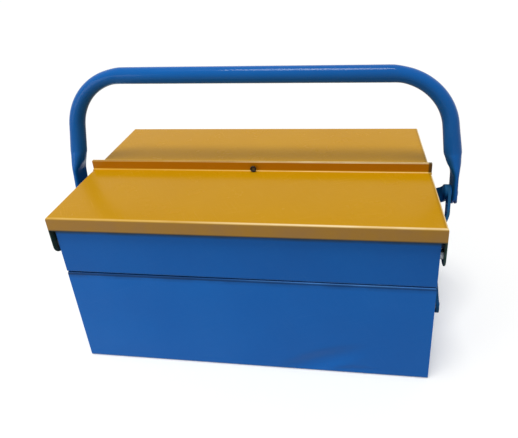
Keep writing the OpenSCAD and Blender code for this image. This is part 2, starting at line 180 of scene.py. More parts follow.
def linear(colour):
    """One sRGB hex colour as linear red, green, blue and alpha."""
    parts = [int(colour[i:i + 2], 16) / 255 for i in (1, 3, 5)]
    curve = [p / 12.92 if p <= 0.04045 else ((p + 0.055) / 1.055) ** 2.4 for p in parts]
    return (*curve, 1.0)


class ToolboxColours(bpy.types.PropertyGroup):
    """Colours of the enamels."""

    body: FloatVectorProperty(
        name="Body blue", description="Enamel of the boxes, trays and links",
        default=linear("#1f78d6")[:3], size=3, min=0, max=1, subtype="COLOR",
    )
    handle: FloatVectorProperty(
        name="Handle blue", description="Enamel of the handle and its stays",
        default=linear("#0a66b8")[:3], size=3, min=0, max=1, subtype="COLOR",
    )
    lid: FloatVectorProperty(
        name="Lid ochre", description="Enamel of the two lids",
        default=linear("#cd9606")[:3], size=3, min=0, max=1, subtype="COLOR",
    )


def sizes():
    """The scene's sizes."""
    return bpy.context.scene.toolbox_sizes


def colours():
    """The scene's colours."""
    return bpy.context.scene.toolbox_colours


# Patterns that the finishes are made of

def add_node(tree, kind, inputs=None, **settings):
    """Adds one shader node, sets it up, and fills or links its inputs. A node given for an
    input stands for its first output in use."""
    node = tree.nodes.new("ShaderNode" + kind)
    for name, value in settings.items():
        setattr(node, name, value)
    for socket, value in (inputs or {}).items():
        if isinstance(value, bpy.types.Node):
            value = next(output for output in value.outputs if output.enabled)
        if isinstance(value, bpy.types.NodeSocket):
            tree.links.new(value, node.inputs[socket])
        else:
            node.inputs[socket].default_value = value
    return node


def per_metre(millimetres):
    """Scale of a noise whose features are this many millimetres across."""
    return 1 / (millimetres * MM)


def laid_over(tree, base, colour, *shares):
    """Base with a colour laid over it, as thick as all of its shares together say."""
    thick = shares[0]
    for share in shares[1:]:
        thick = add_node(tree, "Math", {0: thick, 1: share}, operation="MULTIPLY")
    return add_node(tree, "Mix", {0: thick, 6: base, 7: colour}, data_type="RGBA")


def patches(tree, place, millimetres, cut, shares=(0.0, 1.0), detail=3, roughness=0.5):
    """Uneven patches this many millimetres across: noise between two levels, stretched to two shares."""
    noise = add_node(
        tree, "TexNoise",
        {"Vector": place, "Scale": per_metre(millimetres), "Detail": detail, "Roughness": roughness},
    )
    return add_node(
        tree, "MapRange",
        {"Value": noise, "From Min": cut[0], "From Max": cut[1], "To Min": shares[0], "To Max": shares[1]},
    )


def band(tree, value, low, high, soft):
    """1 where a value lies from low to high, falling to 0 within a soft distance of them.
    None leaves that side open."""
    ends = []
    if low is not None:
        ends.append({"Value": value, "From Min": low - soft, "From Max": low})
    if high is not None:
        ends.append({"Value": value, "From Min": high, "From Max": high + soft, "To Min": 1.0, "To Max": 0.0})
    shares = [add_node(tree, "MapRange", end) for end in ends]
    if len(shares) == 1:
        return shares[0]
    return add_node(tree, "Math", {0: shares[0], 1: shares[1]}, operation="MULTIPLY")


def edge_mask(tree, radius, low, high):
    """Where the surface turns sharply within a radius: 0 up to a low turn, and 1 from a high one."""
    soft = add_node(tree, "Bevel", {"Radius": radius}, samples=6)
    true = add_node(tree, "NewGeometry").outputs["Normal"]
    alike = add_node(tree, "VectorMath", {0: soft, 1: true}, operation="DOT_PRODUCT")
    bent = add_node(tree, "Math", {0: 1.0, 1: alike}, operation="SUBTRACT")
    return add_node(tree, "MapRange", {"Value": bent, "From Min": low, "From Max": high})


def facing(tree):
    """How squarely a face looks along X, Y and Z, either way, each from 0 to 1."""
    normal = add_node(tree, "TexCoord").outputs["Normal"]
    size = add_node(tree, "VectorMath", {0: normal}, operation="ABSOLUTE")
    return add_node(tree, "SeparateXYZ", {0: size})


def fold_mask(tree):
    """Where a sheet is bent: its surface there looks along none of the sheet's three directions."""
    along = facing(tree)
    most = add_node(tree, "Math", {0: along.outputs["X"], 1: along.outputs["Y"]}, operation="MAXIMUM")
    most = add_node(tree, "Math", {0: most, 1: along.outputs["Z"]}, operation="MAXIMUM")
    turned = add_node(tree, "Math", {0: 1.0, 1: most}, operation="SUBTRACT")
    return add_node(tree, "MapRange", {"Value": turned, "From Min": 0.02, "From Max": 0.16})


def flat_place(tree, place):
    """The two coordinates that run along a flat sheet, whichever of the three ways it looks."""
    along = facing(tree)
    at = add_node(tree, "SeparateXYZ", {0: place})
    first = add_node(tree, "Mix", {0: along.outputs["X"], 2: at.outputs["X"], 3: at.outputs["Y"]})
    second = add_node(tree, "Mix", {0: along.outputs["Z"], 2: at.outputs["Z"], 3: at.outputs["Y"]})
    return add_node(tree, "CombineXYZ", {0: first, 1: second})


def scratches(tree, place, degrees, length_mm, width_mm):
    """Thin straight marks: a noise drawn out along one direction of the sheet and cut near its
    top. Real ones are about a tenth of a millimetre wide, too fine to show, so these are wider."""
    turned = add_node(
        tree, "Mapping",
        {"Vector": flat_place(tree, place), "Rotation": (0, 0, math.radians(degrees)),
         "Scale": (length_mm * MM, width_mm * MM, 1)},
        vector_type="TEXTURE",
    )
    lines = add_node(
        tree, "TexNoise", {"Vector": turned, "Scale": 1.0, "Detail": 1.0, "Roughness": 0.4},
        noise_dimensions="2D",
    )
    return add_node(tree, "MapRange", {"Value": lines, "From Min": 0.75, "From Max": 0.78})


def dent(tree, place, middle, reach, degrees, depth):
    """A shallow dent round a point, as a height below the sheet, all in millimetres. It reaches
    this far each way, and is turned by an angle about Y."""
    turned = add_node(
        tree, "Mapping",
        {"Vector": place, "Location": Vector(middle) * MM, "Rotation": (0, math.radians(-degrees), 0),
         "Scale": Vector(reach) * MM},
        vector_type="TEXTURE",
    )
    away = add_node(tree, "VectorMath", {0: turned}, operation="LENGTH")
    return add_node(
        tree, "MapRange",
        {"Value": away, "From Min": 0.0, "From Max": 1.0, "To Min": -depth, "To Max": 0.0},
        interpolation_type="SMOOTHERSTEP",
    )


# Finishes

# The boxes' and links' blue where its clouds are deeper, and a pale blue where its film is thin or worn, also
# used as a painted highlight on folds and along the rim
DEEP_BLUE = "#1a6ac6"
WEAR_AND_HIGHLIGHT_BLUE = "#5b9be0"
# How much of the worn colour shows at cut edges and in scratches, and how much rougher a
# scratch is than the film round it
EDGE_WEAR = 0.4
SCRATCH_WEAR = 0.14
SCRATCH_DULL = 0.2
# How much higher the film's slow waves are than its orange peel
WAVE_HEIGHT = 5.0
# Of enamel and of phenolic
FILM_IOR = 1.5


def empty_material(name):
    """A node material with nothing in it yet, and its tree."""
    material = bpy.data.materials.new(name)
    material.use_nodes = True
    material.node_tree.nodes.clear()
    return material, material.node_tree


def close_material(tree, inputs):
    """Ends a material with a shader and its output."""
    shader = add_node(tree, "BsdfPrincipled", inputs)
    add_node(tree, "OutputMaterial", {"Surface": shader})


def enamel(name, colour, deep, wear_and_highlight_colour, folded, peel_mm, roughness, gloss, marked=None):
    """Enamel sprayed on steel and baked: an even, glossy colour with faint clouds and orange
    peel, a few fine scratches, hand smears, paler folds where the film is thin and which also
    serve as a painted highlight, and pale wear on cut edges. Its gloss is kept low, because the
    white studio would wash its colour out. What marks one part of the toolbox, such as a painted
    highlight along a rim, comes from marked as the new colour, the dents and the dull places."""
    material, tree = empty_material(name)
    colour, deep, wear_and_highlight_colour = (*colour, 1.0), linear(deep), linear(wear_and_highlight_colour)
    place = add_node(tree, "TexCoord").outputs["Object"]
    clouds = patches(tree, place, 120, (0.3, 0.7), (0.0, 0.45), detail=2)
    base = laid_over(tree, colour, deep, clouds)
    mottle = patches(tree, place, 7, (0.35, 0.7), (0.0, 0.1))
    base = laid_over(tree, base, deep, mottle)
    # Paler folds: the film is thinner over the bends, and the pale colour there is also a painted highlight.
    if folded:
        film = patches(tree, place, 60, (0.35, 0.6), (0.25, 1.0))
        base = laid_over(tree, base, wear_and_highlight_colour, fold_mask(tree), film, folded)
    edges = edge_mask(tree, radius=0.8 * MM, low=0.05, high=0.3)
    wear_and_highlight_share = patches(tree, place, 13, (0.4, 0.62), (0.1, 1.0), detail=5)
    base = laid_over(tree, base, wear_and_highlight_colour, edges, wear_and_highlight_share, EDGE_WEAR)
    marks = add_node(
        tree, "Math",
        {0: scratches(tree, place, degrees=20, length_mm=60, width_mm=0.5),
         1: scratches(tree, place, degrees=-55, length_mm=45, width_mm=0.45)},
        operation="MAXIMUM",
    )
    base = laid_over(tree, base, wear_and_highlight_colour, marks, SCRATCH_WEAR)
    dents = dull = None
    if marked:
        base, dents, dull = marked(tree, place, base)
    smears = patches(tree, place, 35, (0.35, 0.7), (roughness, roughness + 0.1), detail=4, roughness=0.6)
    rough = add_node(tree, "Math", {0: marks, 1: SCRATCH_DULL, 2: smears}, operation="MULTIPLY_ADD")
    if dull:
        rough = add_node(tree, "Math", {0: rough, 1: dull}, operation="MAXIMUM")
    peel = add_node(tree, "TexNoise", {"Vector": place, "Scale": per_metre(peel_mm), "Detail": 1.0})
    waves = add_node(tree, "TexNoise", {"Vector": place, "Scale": per_metre(45), "Detail": 2.0})
    height = add_node(tree, "Math", {0: waves, 1: WAVE_HEIGHT, 2: peel}, operation="MULTIPLY_ADD")
    bump = add_node(tree, "Bump", {"Strength": 0.5, "Distance": sizes().orange_peel, "Height": height})
    if dents:
        bump = add_node(tree, "Bump", {"Strength": 1.0, "Distance": 1 * MM, "Height": dents, "Normal": bump})
    close_material(tree, {
        "Base Color": base, "Roughness": rough, "Normal": bump,
        "IOR": FILM_IOR, "Specular IOR Level": gloss,
    })
    return material


def outer_walls(tree, place):
    """1 on the boxes' outside and 0 on the inner faces of their walls."""
    out = add_node(tree, "VectorMath", {0: place}, operation="ABSOLUTE")
    out = add_node(tree, "SeparateXYZ", {0: out})
    ends = band(tree, out.outputs["X"], WALL_END - 0.75 * MM, None, 0.2 * MM)
    fronts = band(tree, out.outputs["Y"], WALL_FRONT - 0.75 * MM, None, 0.2 * MM)
    return add_node(tree, "Math", {0: ends, 1: fronts}, operation="MAXIMUM")


def body_marks(tree, place, base):
    """The lower box's rim carries a painted highlight on its right half and painted shade on its
    left half. The walls' outsides carry painted shade as a dark line and a soft band below the
    rim, and as a dark band below the lids' lips. The trays' blue is painted a shade darker, as
    painted shade, and the lower box's front has shallow dents low on the right."""
    where = add_node(tree, "SeparateXYZ", {0: place})
    across, height = where.outputs["X"], where.outputs["Z"]
    # Painted shade: above the rim, on the trays, the blue is multiplied a shade darker.
    base = add_node(
        tree, "Mix", {0: band(tree, height, RIM + 2 * MM, None, 1 * MM), 6: base, 7: linear("#ececee")},
        data_type="RGBA", blend_type="MULTIPLY",
    )
    # Painted shade: the dark blue laid on the rim's left half, and on the walls' outsides as a line and a
    # soft band below the rim.
    painted_shade_blue = linear("#123c6e")
    right = band(tree, across, 70 * MM, None, 130 * MM)
    left = add_node(tree, "Math", {0: 1.0, 1: right}, operation="SUBTRACT")
    # Painted highlight: a pale line along the rim's right half; the same rim band holds painted shade on the
    # left half.
    rim = band(tree, height, RIM - 0.9 * MM, RIM + 0.5 * MM, 0.3 * MM)
    wear_and_highlight_share = patches(tree, place, 40, (0.35, 0.6), (0.35, 0.9))
    base = laid_over(tree, base, linear(WEAR_AND_HIGHLIGHT_BLUE), rim, wear_and_highlight_share, right)
    # Painted shade along the rim's left half.
    base = laid_over(tree, base, painted_shade_blue, rim, left, 0.75)
    outside = outer_walls(tree, place)
    # Painted shade: a dark line just below the rim, fading to the right, and a soft dark band below it.
    groove = band(tree, height, RIM - 2.8 * MM, RIM - 1.1 * MM, 0.5 * MM)
    fading = add_node(
        tree, "MapRange",
        {"Value": across, "From Min": -60 * MM, "From Max": 70 * MM, "To Min": 0.85, "To Max": 0.6},
    )
    base = laid_over(tree, base, painted_shade_blue, groove, outside, fading)
    soft_shade = band(tree, height, RIM - 3.1 * MM, RIM - 1.3 * MM, 5 * MM)
    base = laid_over(tree, base, painted_shade_blue, soft_shade, outside, patches(tree, place, 30, (0.3, 0.6), (0.1, 0.45)))
    # Painted shade: a dark band on the walls' outsides just below the lids' lips.
    line = band(tree, height, LIP_LOW - 3.9 * MM, LIP_LOW - 1.7 * MM, 3 * MM)
    lip_shade_patches = patches(tree, place, 25, (0.3, 0.6), (0.65, 0.95))
    base = laid_over(tree, base, linear("#2c4a66"), line, outside, lip_shade_patches)
    large = dent(tree, place, middle=(80, -117, 16), reach=(74, 20, 20), degrees=24, depth=1.9)
    small = dent(tree, place, middle=(118, -117, 6), reach=(36, 20, 9), degrees=4, depth=0.6)
    dents = add_node(tree, "Math", {0: large, 1: small}, operation="ADD")
    return base, dents, None


def lid_marks(tree, place, base):
    """The lips' upright faces carry a grey-brown painted sheen, and their lower edges and the ears
    below them are painted dark as painted shade; the ears are also rougher. The ridge's walls are
    painted deeper orange as warm light thrown back from the lid, the ridge's top and the outer
    folds carry a painted highlight, strongest to the right, and the ridge's right end is painted dark as
    painted shade."""
    where = add_node(tree, "SeparateXYZ", {0: place})
    across, height = where.outputs["X"], where.outputs["Z"]
    upright = band(tree, facing(tree).outputs["Y"], 0.98, None, 0.08)
    # Painted sheen: a grey-brown laid over the lips' upright faces.
    lips = band(tree, height, None, LID_TOP - 2.5 * MM, 1.5 * MM)
    lip_sheen_patches = patches(tree, place, 25, (0.3, 0.65), (0.6, 0.95))
    base = laid_over(tree, base, linear("#b6894d"), upright, lips, lip_sheen_patches)
    # Painted shade: a dark line along the lips' lower edges.
    hem = band(tree, height, None, LIP_LOW + 0.2 * MM, 1.6 * MM)
    base = laid_over(tree, base, linear("#4a4b42"), hem, 0.85)
    # Painted light: the ridge's upright walls are painted a deeper orange, as warm light thrown back from the
    # lid.
    walls = band(tree, height, LID_TOP + 2 * MM, None, 1 * MM)
    base = laid_over(tree, base, linear("#b86c0a"), upright, walls, 0.7)
    # Painted shade: the ears below the lips are painted dark teal; they are also made rougher.
    ears = band(tree, height, None, LIP_LOW - 1.7 * MM, 3 * MM)
    base = laid_over(tree, base, linear("#2a4a44"), ears, patches(tree, place, 9, (0.3, 0.6), (0.7, 0.95)))
    # Painted highlight: a pale line along the ridge's top and the outer folds near the lid's top, strongest
    # to the right.
    ridge = band(tree, height, RIDGE_TOP - 0.4 * MM, None, 0.5 * MM)
    folds = add_node(
        tree, "Math",
        {0: fold_mask(tree), 1: band(tree, height, LID_TOP - 4 * MM, LID_TOP + 0.3 * MM, 0.2 * MM)},
        operation="MULTIPLY",
    )
    wear_and_highlight_share = add_node(tree, "Math", {0: ridge, 1: folds}, operation="MAXIMUM")
    right = add_node(
        tree, "MapRange",
        {"Value": across, "From Min": -60 * MM, "From Max": 60 * MM, "To Min": 0.25, "To Max": 1.0},
    )
    highlight_patches = patches(tree, place, 50, (0.35, 0.6), (0.55, 1.0))
    base = laid_over(tree, base, linear("#ffe6ae"), wear_and_highlight_share, right, highlight_patches)
    # Painted shade: the last few millimetres of the ridge's right end are painted dark.
    tip = band(tree, across, RIDGE_END - 3 * MM, None, 1.5 * MM)
    above = band(tree, height, LID_TOP + 0.6 * MM, None, 0.8 * MM)
    base = laid_over(tree, base, linear("#3f3214"), tip, above, 0.85)
    return base, None, add_node(tree, "Math", {0: ears, 1: 0.5}, operation="MULTIPLY")


def handle_marks(tree, place, base):
    """The inward faces of the tube's flattened ends, the right one most, and the stays' edges and
    inward faces are painted dark teal as painted shade, and are made rougher there."""
    where = add_node(tree, "SeparateXYZ", {0: place})
    across, height = where.outputs["X"], where.outputs["Z"]
    normal = add_node(tree, "TexCoord").outputs["Normal"]
    side = add_node(tree, "SeparateXYZ", {0: normal}).outputs["X"]
    half = add_node(tree, "Math", {0: across}, operation="SIGN")
    outward = add_node(tree, "Math", {0: side, 1: half}, operation="MULTIPLY")
    ends = add_node(
        tree, "Math",
        {0: band(tree, outward, None, -0.7, 0.45),
         1: band(tree, height, None, HANDLE_PIVOT.z + 33 * MM, 30 * MM)},
        operation="MULTIPLY",
    )
    more = add_node(
        tree, "MapRange",
        {"Value": across, "From Min": -100 * MM, "From Max": 100 * MM, "To Min": 0.35, "To Max": 1.0},
    )
    ends = add_node(tree, "Math", {0: ends, 1: more}, operation="MULTIPLY")
    out = add_node(tree, "Math", {0: across}, operation="ABSOLUTE")
    stays = add_node(
        tree, "Math",
        {0: band(tree, out, None, FLAT_MIDDLE - 4.6 * MM, 1 * MM),
         1: band(tree, height, None, HANDLE_PIVOT.z + 14 * MM, 4 * MM)},
        operation="MULTIPLY",
    )
    inward_share = add_node(
        tree, "MapRange", {"Value": outward, "From Min": 0.3, "From Max": 0.8, "To Min": 1.0, "To Max": 0.2},
    )
    stays = add_node(tree, "Math", {0: stays, 1: inward_share}, operation="MULTIPLY")
    shade_and_dull = add_node(tree, "Math", {0: ends, 1: stays}, operation="MAXIMUM")
    # Painted shade: dark teal on the inward faces of the flattened ends and of the stays; the same mask makes
    # them rougher.
    base = laid_over(tree, base, linear("#124f70"), shade_and_dull, patches(tree, place, 12, (0.3, 0.6), (0.6, 0.95)))
    return base, None, add_node(tree, "Math", {0: shade_and_dull, 1: 0.62}, operation="MULTIPLY")


def zinc_plate(name):
    """Zinc plated steel, pressed: a pale, slightly blue metal with soft handling marks. Its
    spangle is drawn at 2.5 mm and its grain at 0.9 mm, because the real ones are too fine to show."""
    material, tree = empty_material(name)
    place = add_node(tree, "TexCoord").outputs["Object"]
    spangle = patches(tree, place, 2.5, (0.35, 0.65))
    base = laid_over(tree, linear("#a9adb2"), linear("#7f848b"), spangle)
    rough = patches(tree, place, 4, (0.3, 0.7), (0.24, 0.46), detail=4)
    pressed = add_node(tree, "TexNoise", {"Vector": place, "Scale": per_metre(0.9), "Detail": 2.0})
    bump = add_node(tree, "Bump", {"Strength": 0.4, "Distance": 0.03 * MM, "Height": pressed})
    close_material(tree, {"Base Color": base, "Roughness": rough, "Normal": bump, "Metallic": 1.0})
    return material


def black_moulding(name):
    """Phenolic moulded in black: deep, glossy, with faint dull handling spots and a pale brown spot in the
    middle of its face.
    """
    material, tree = empty_material(name)
    place = add_node(tree, "TexCoord").outputs["Object"]
    base = laid_over(tree, linear("#171615"), linear("#262320"), patches(tree, place, 1.5, (0.35, 0.65)))
    low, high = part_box("knob")
    middle = ((low[0] + high[0]) / 2, low[1], (low[2] + high[2]) / 2)
    away = add_node(tree, "VectorMath", {0: place, 1: middle}, operation="DISTANCE")
    # A pale brown spot in the middle of the knob's face.
    base = laid_over(tree, base, linear("#6b5c3c"), band(tree, away, None, 1.4 * MM, 1 * MM), 0.8)
    rough = patches(tree, place, 2, (0.3, 0.7), (0.22, 0.42))
    close_material(tree, {
        "Base Color": base, "Roughness": rough, "IOR": FILM_IOR, "Specular IOR Level": 0.25,
    })
    return material


def body_enamel(name):
    """Blue enamel on the boxes' bent sheet, a soft shine that goes paler over the folds, where the film is
    thin and as a painted highlight.
    """
    return enamel(
        name, colours().body, deep=DEEP_BLUE, wear_and_highlight_colour=WEAR_AND_HIGHLIGHT_BLUE,
        folded=0.5, peel_mm=2.4, roughness=0.3, gloss=0.12, marked=body_marks,
    )


def link_enamel(name):
    """The same blue on the links, which are flat bar with no folds."""
    return enamel(
        name, colours().body, deep=DEEP_BLUE, wear_and_highlight_colour=WEAR_AND_HIGHLIGHT_BLUE,
        folded=0, peel_mm=2.0, roughness=0.28, gloss=0.12,
    )


def handle_enamel(name):
    """Deeper blue enamel on drawn tube and bar, whose smoother film gives narrow, bright lights."""
    return enamel(
        name, colours().handle, deep="#0857a4", wear_and_highlight_colour="#3f8fd8",
        folded=0, peel_mm=1.8, roughness=0.1, gloss=0.13, marked=handle_marks,
    )


def lid_enamel(name):
    """Ochre enamel on the lids' bent sheet, shinier than the boxes, and pale over the folds, where the film
    is thin and as a painted highlight.
    """
    return enamel(
        name, colours().lid, deep="#c48c05", wear_and_highlight_colour="#f2c75a",
        folded=0.5, peel_mm=2.0, roughness=0.2, gloss=0.1, marked=lid_marks,
    )


FINISHES = {
    "blue_enamel_baked_on_sheet": body_enamel,
    "blue_enamel_baked_on_links": link_enamel,
    "blue_enamel_baked_on_tube": handle_enamel,
    "ochre_enamel_baked_on_sheet": lid_enamel,
    "zinc_plated_steel_pressed": zinc_plate,
    "black_phenolic_moulded": black_moulding,
}


def finish(name):
    """The material of that name, made the first time it is asked for."""
    return bpy.data.materials.get(name) or FINISHES[name](name)


def dress(nodes, finish_name):
    """Gives CAD nodes their finish."""
    for node in nodes:
        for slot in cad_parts[node].material_slots:
            slot.material = finish(finish_name)


# Shapes

def mesh_object(name, verts, faces, material):
    """A smooth shaded mesh object in the scene."""
    mesh = bpy.data.meshes.new(name)
    mesh.from_pydata([tuple(v) for v in verts], [], faces)
    mesh.validate()
    mesh.update()
    piece = bpy.data.objects.new(name, mesh)
    bpy.context.scene.collection.objects.link(piece)
    mesh.materials.append(material)
    for face in mesh.polygons:
        face.use_smooth = True
    return piece


def prisms(name, outlines, low, high):
    """Closed solids along X between two places, from outlines of places along Y and Z."""
    made = bmesh.new()
    for outline in outlines:
        ends = [[made.verts.new((x, y, z)) for y, z in outline] for x in (low, high)]
        made.faces.new(ends[0])
        made.faces.new(ends[1][::-1])
        for i in range(len(outline)):
            j = (i + 1) % len(outline)
            made.faces.new((ends[0][j], ends[0][i], ends[1][i], ends[1][j]))
    bmesh.ops.recalc_face_normals(made, faces=made.faces)
    mesh = bpy.data.meshes.new(name)
    made.to_mesh(mesh)
    made.free()
    piece = bpy.data.objects.new(name, mesh)
    bpy.context.scene.collection.objects.link(piece)
    return piece


def circle(y, z, radius):
    """Outline of a round hole."""
    turns = [2 * math.pi * k / ROUND_POINTS for k in range(ROUND_POINTS)]
    return [(y + radius * math.cos(t), z + radius * math.sin(t)) for t in turns]


def cut_away(piece, cutter):
    """Takes one closed mesh off another for good."""
    step = piece.modifiers.new("cut", "BOOLEAN")
    step.operation = "DIFFERENCE"
    step.solver = "EXACT"
    step.object = cutter
    bpy.context.view_layer.update()
    ready = piece.evaluated_get(bpy.context.evaluated_depsgraph_get())
    mesh = bpy.data.meshes.new_from_object(ready)
    if not mesh.polygons:
        raise RuntimeError(f"nothing is left of {piece.name} after its cut")
    piece.modifiers.clear()
    piece.data = mesh
    bpy.data.objects.remove(cutter)


def turn_outward(piece):
    """All faces of a closed mesh look outward."""
    made = bmesh.new()
    made.from_mesh(piece.data)
    bmesh.ops.recalc_face_normals(made, faces=made.faces)
    made.to_mesh(piece.data)
    made.free()


def crisp_edges(piece, degrees):
    """Smooth faces that meet in a clean line where they turn by more than an angle."""
    made = bmesh.new()
    made.from_mesh(piece.data)
    for face in made.faces:
        face.smooth = True
    for edge in made.edges:
        edge.smooth = len(edge.link_faces) == 2 and edge.calc_face_angle(0) < math.radians(degrees)
    made.to_mesh(piece.data)
    made.free()


def ease(share):
    """A share from 0 to 1 with a soft start and end."""
    share = min(max(share, 0), 1)
    return share * share * (3 - 2 * share)


def table_value(table, place):
    """Smooth value of a rising table at a place, with the slope of its neighbours at each point."""
    last = len(table) - 1
    at = max(i for i in range(last) if place >= table[i][0])

    def slope(i):
        """Slope of the table at one of its points."""
        low, high = table[max(i - 1, 0)], table[min(i + 1, last)]
        return (high[1] - low[1]) / (high[0] - low[0]) if 0 < i < last else 0

    (x0, y0), (x1, y1) = table[at], table[at + 1]
    span = x1 - x0
    t = (place - x0) / span
    return (
        y0 * (2 * t ** 3 - 3 * t ** 2 + 1) + y1 * (3 * t ** 2 - 2 * t ** 3)
        + span * slope(at) * (t ** 3 - 2 * t ** 2 + t) + span * slope(at + 1) * (t ** 3 - t ** 2)
    )


# The knob

def dished_knob(name, material):
    """A round head on a neck and a stud, turned about the Y axis, with a shallow dish in its face."""
    low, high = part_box("knob")
    head = (high[0] - low[0]) / 2
    front, back = low[1], high[1]
    middle = (low[2] + high[2]) / 2
    neck, stud, steps = 2.25 * MM, 1.5 * MM, 48
    profile = [
        (back, stud - 0.4 * MM), (back - 0.3 * MM, stud), (back - 2 * MM, stud), (back - 2 * MM, neck),
        (front + 2.2 * MM, neck), (front + 2.1 * MM, head - 0.35 * MM),
        (front + 1.8 * MM, head - 0.05 * MM),
        (front + 1.5 * MM, head), (front + 0.6 * MM, head), (front + 0.2 * MM, head - 0.2 * MM),
        (front, head - 0.6 * MM), (front + 0.1 * MM, head - 0.95 * MM), (front + 0.5 * MM, head - 1.3 * MM),
        (front + 0.95 * MM, head - 1.9 * MM), (front + 1.15 * MM, head - 2.8 * MM),
        (front + 1.2 * MM, 0.2 * MM),
    ]
    verts = [
        (radius * math.cos(turn), y, middle + radius * math.sin(turn))
        for y, radius in profile for turn in (2 * math.pi * k / steps for k in range(steps))
    ]
    faces = []
    for a in range(0, (len(profile) - 1) * steps, steps):
        b = a + steps
        faces += [(a + k, a + (k + 1) % steps, b + (k + 1) % steps, b + k) for k in range(steps)]
    faces.append(tuple(range(steps)))
    faces.append(tuple(b + k for k in reversed(range(steps))))
    knob = mesh_object(name, verts, faces, material)
    turn_outward(knob)
    crisp_edges(knob, degrees=50)
    return knob


# The stays

def bar_faces(rows, across):
    """Faces of a flat bar. Each row has its inner points and then its outer ones, across + 1 of each."""
    layer = across + 1
    row = 2 * layer
    faces = []
    for a in range(0, (rows - 1) * row, row):
        b = a + row
        for k in range(across):
            faces.append((a + k, a + k + 1, b + k + 1, b + k))
            faces.append((a + layer + k, b + layer + k, b + layer + k + 1, a + layer + k + 1))
        faces.append((a, b, b + layer, a + layer))
        faces.append((a + across, a + layer + across, b + layer + across, b + across))
    for a in (0, (rows - 1) * row):
        for k in range(across):
            faces.append((a + k, a + layer + k, a + layer + k + 1, a + k + 1))
    return faces


def bent_stay(name, node, way, side, bend, lean):
    """A flat bar with round ends from the handle's rivet down to the lower box, which leans in a
    little and then has one soft joggle that takes it in to the box. Way is 1 for the rear and -1
    for the front, and side is 1 for the right and -1 for the left."""
    size = sizes()
    thick, radius, joggle = size.stay_thickness, size.stay_width / 2, size.joggle_length
    low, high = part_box(node)
    low_x, outer_x = sorted((abs(low[0]), abs(high[0])))
    top_x = outer_x - thick
    fall, run = HANDLE_PIVOT.z - STAY_FOOT[1], -STAY_FOOT[0]
    length = math.hypot(fall, run)
    down = Vector((0, way * run / length, -fall / length))
    up = Vector((0, way * fall / length, run / length))

    def offset(place):
        """How far the bar's inner face is from the toolbox's middle, this far down."""
        leaned = top_x - lean * ease(place / LEAN_LENGTH)
        return leaned + (low_x + lean - top_x) * ease((place - bend) / joggle)

    end_steps, length_steps, width_steps, little = 9, 60, 8, 0.1 * MM
    arc = [radius * math.sin(math.pi / 2 * k / end_steps) for k in range(end_steps + 1)]
    places = [-a for a in reversed(arc)]
    places += [length * k / length_steps for k in range(1, length_steps)]
    places += [length + a for a in arc]
    verts = []
    for place in places:
        past = max(-place, place - length, 0)
        # the very ends stay a hair wide, so that no points meet
        half_width = math.sqrt(max(radius * radius - past * past, 0)) or 0.01 * MM
        slope = (offset(place + little) - offset(place - little)) / (2 * little)
        tilt = 1 / math.hypot(1, slope)
        for layer in (0, thick):
            for k in range(width_steps + 1):
                share = 2 * k / width_steps - 1
                point = HANDLE_PIVOT + down * (place - layer * slope * tilt) + up * (half_width * share)
                point.x = side * (offset(place) + layer * tilt)
                verts.append(point)
    stay = mesh_object(name, verts, bar_faces(len(places), width_steps), finish("blue_enamel_baked_on_tube"))
    turn_outward(stay)
    holes = [circle(0, HANDLE_PIVOT.z, HANDLE_RIVET_HOLE), circle(way * run, STAY_FOOT[1], STAY_FOOT_HOLE)]
    beyond = 15 * MM
    cut_away(stay, prisms("stay_holes", holes, side * (low_x - beyond), side * (outer_x + beyond)))
    crisp_edges(stay, degrees=40)
    return stay


# The handle

def handle_stations():
    """The tube's middle line from below the right tip to the middle of the grip.
    Each station is x, height up the arm, turn of the tube, thickness and flatness."""
    size = sizes()
    radius, full, thin = size.bend_radius, size.tube_diameter, size.flat_thickness
    taper_end = FLAT_LENGTH + TAPER_LENGTH
    leg_x = FLAT_MIDDLE - TAPER_LENGTH * math.tan(LEG_SPLAY)
    bend_up = ARM_LENGTH - radius
    leg_length = (bend_up + radius * math.sin(LEG_SPLAY) - taper_end) / math.cos(LEG_SPLAY)
    bend_x = leg_x - leg_length * math.sin(LEG_SPLAY) - radius * math.cos(LEG_SPLAY)
    taper_steps, leg_steps, bend_steps, grip_steps = 36, 8, 48, 12
    stations = [(FLAT_MIDDLE, up * MM, 0, thin, 1) for up in (-16, -10, -5, 0, 5, 10, 15)]
    for step in range(taper_steps + 1):
        share = step / taper_steps
        flat = table_value(TAPER_SHAPE, 1 - share)
        # the middle line leaves the flat's plane and runs into the leg's direction with no kink
        swing = (FLAT_MIDDLE - leg_x) * (3 * share ** 2 - 2 * share ** 3)
        swing += TAPER_LENGTH * math.tan(LEG_SPLAY) * (share ** 3 - share ** 2)
        stations.append((
            FLAT_MIDDLE - swing, FLAT_LENGTH + TAPER_LENGTH * share,
            LEG_SPLAY * ease(share), full + (thin - full) * flat, flat,
        ))
    for step in range(1, leg_steps + 1):
        share = step / leg_steps
        along = leg_length * share
        stations.append((
            leg_x - along * math.sin(LEG_SPLAY), taper_end + along * math.cos(LEG_SPLAY), LEG_SPLAY,
            full - size.bend_flattening * ease(share), 0,
        ))
    for step in range(1, bend_steps + 1):
        share = step / bend_steps
        turn = LEG_SPLAY + (math.pi / 2 - LEG_SPLAY) * share
        stations.append((
            bend_x + radius * math.cos(turn), bend_up + radius * math.sin(turn), turn,
            full - size.bend_flattening * ease((1 - share) * 6), 0,
        ))
    for step in range(1, grip_steps + 1):
        stations.append((bend_x * (1 - step / grip_steps), ARM_LENGTH, math.pi / 2, full, 0))
    return stations, bend_x, taper_end


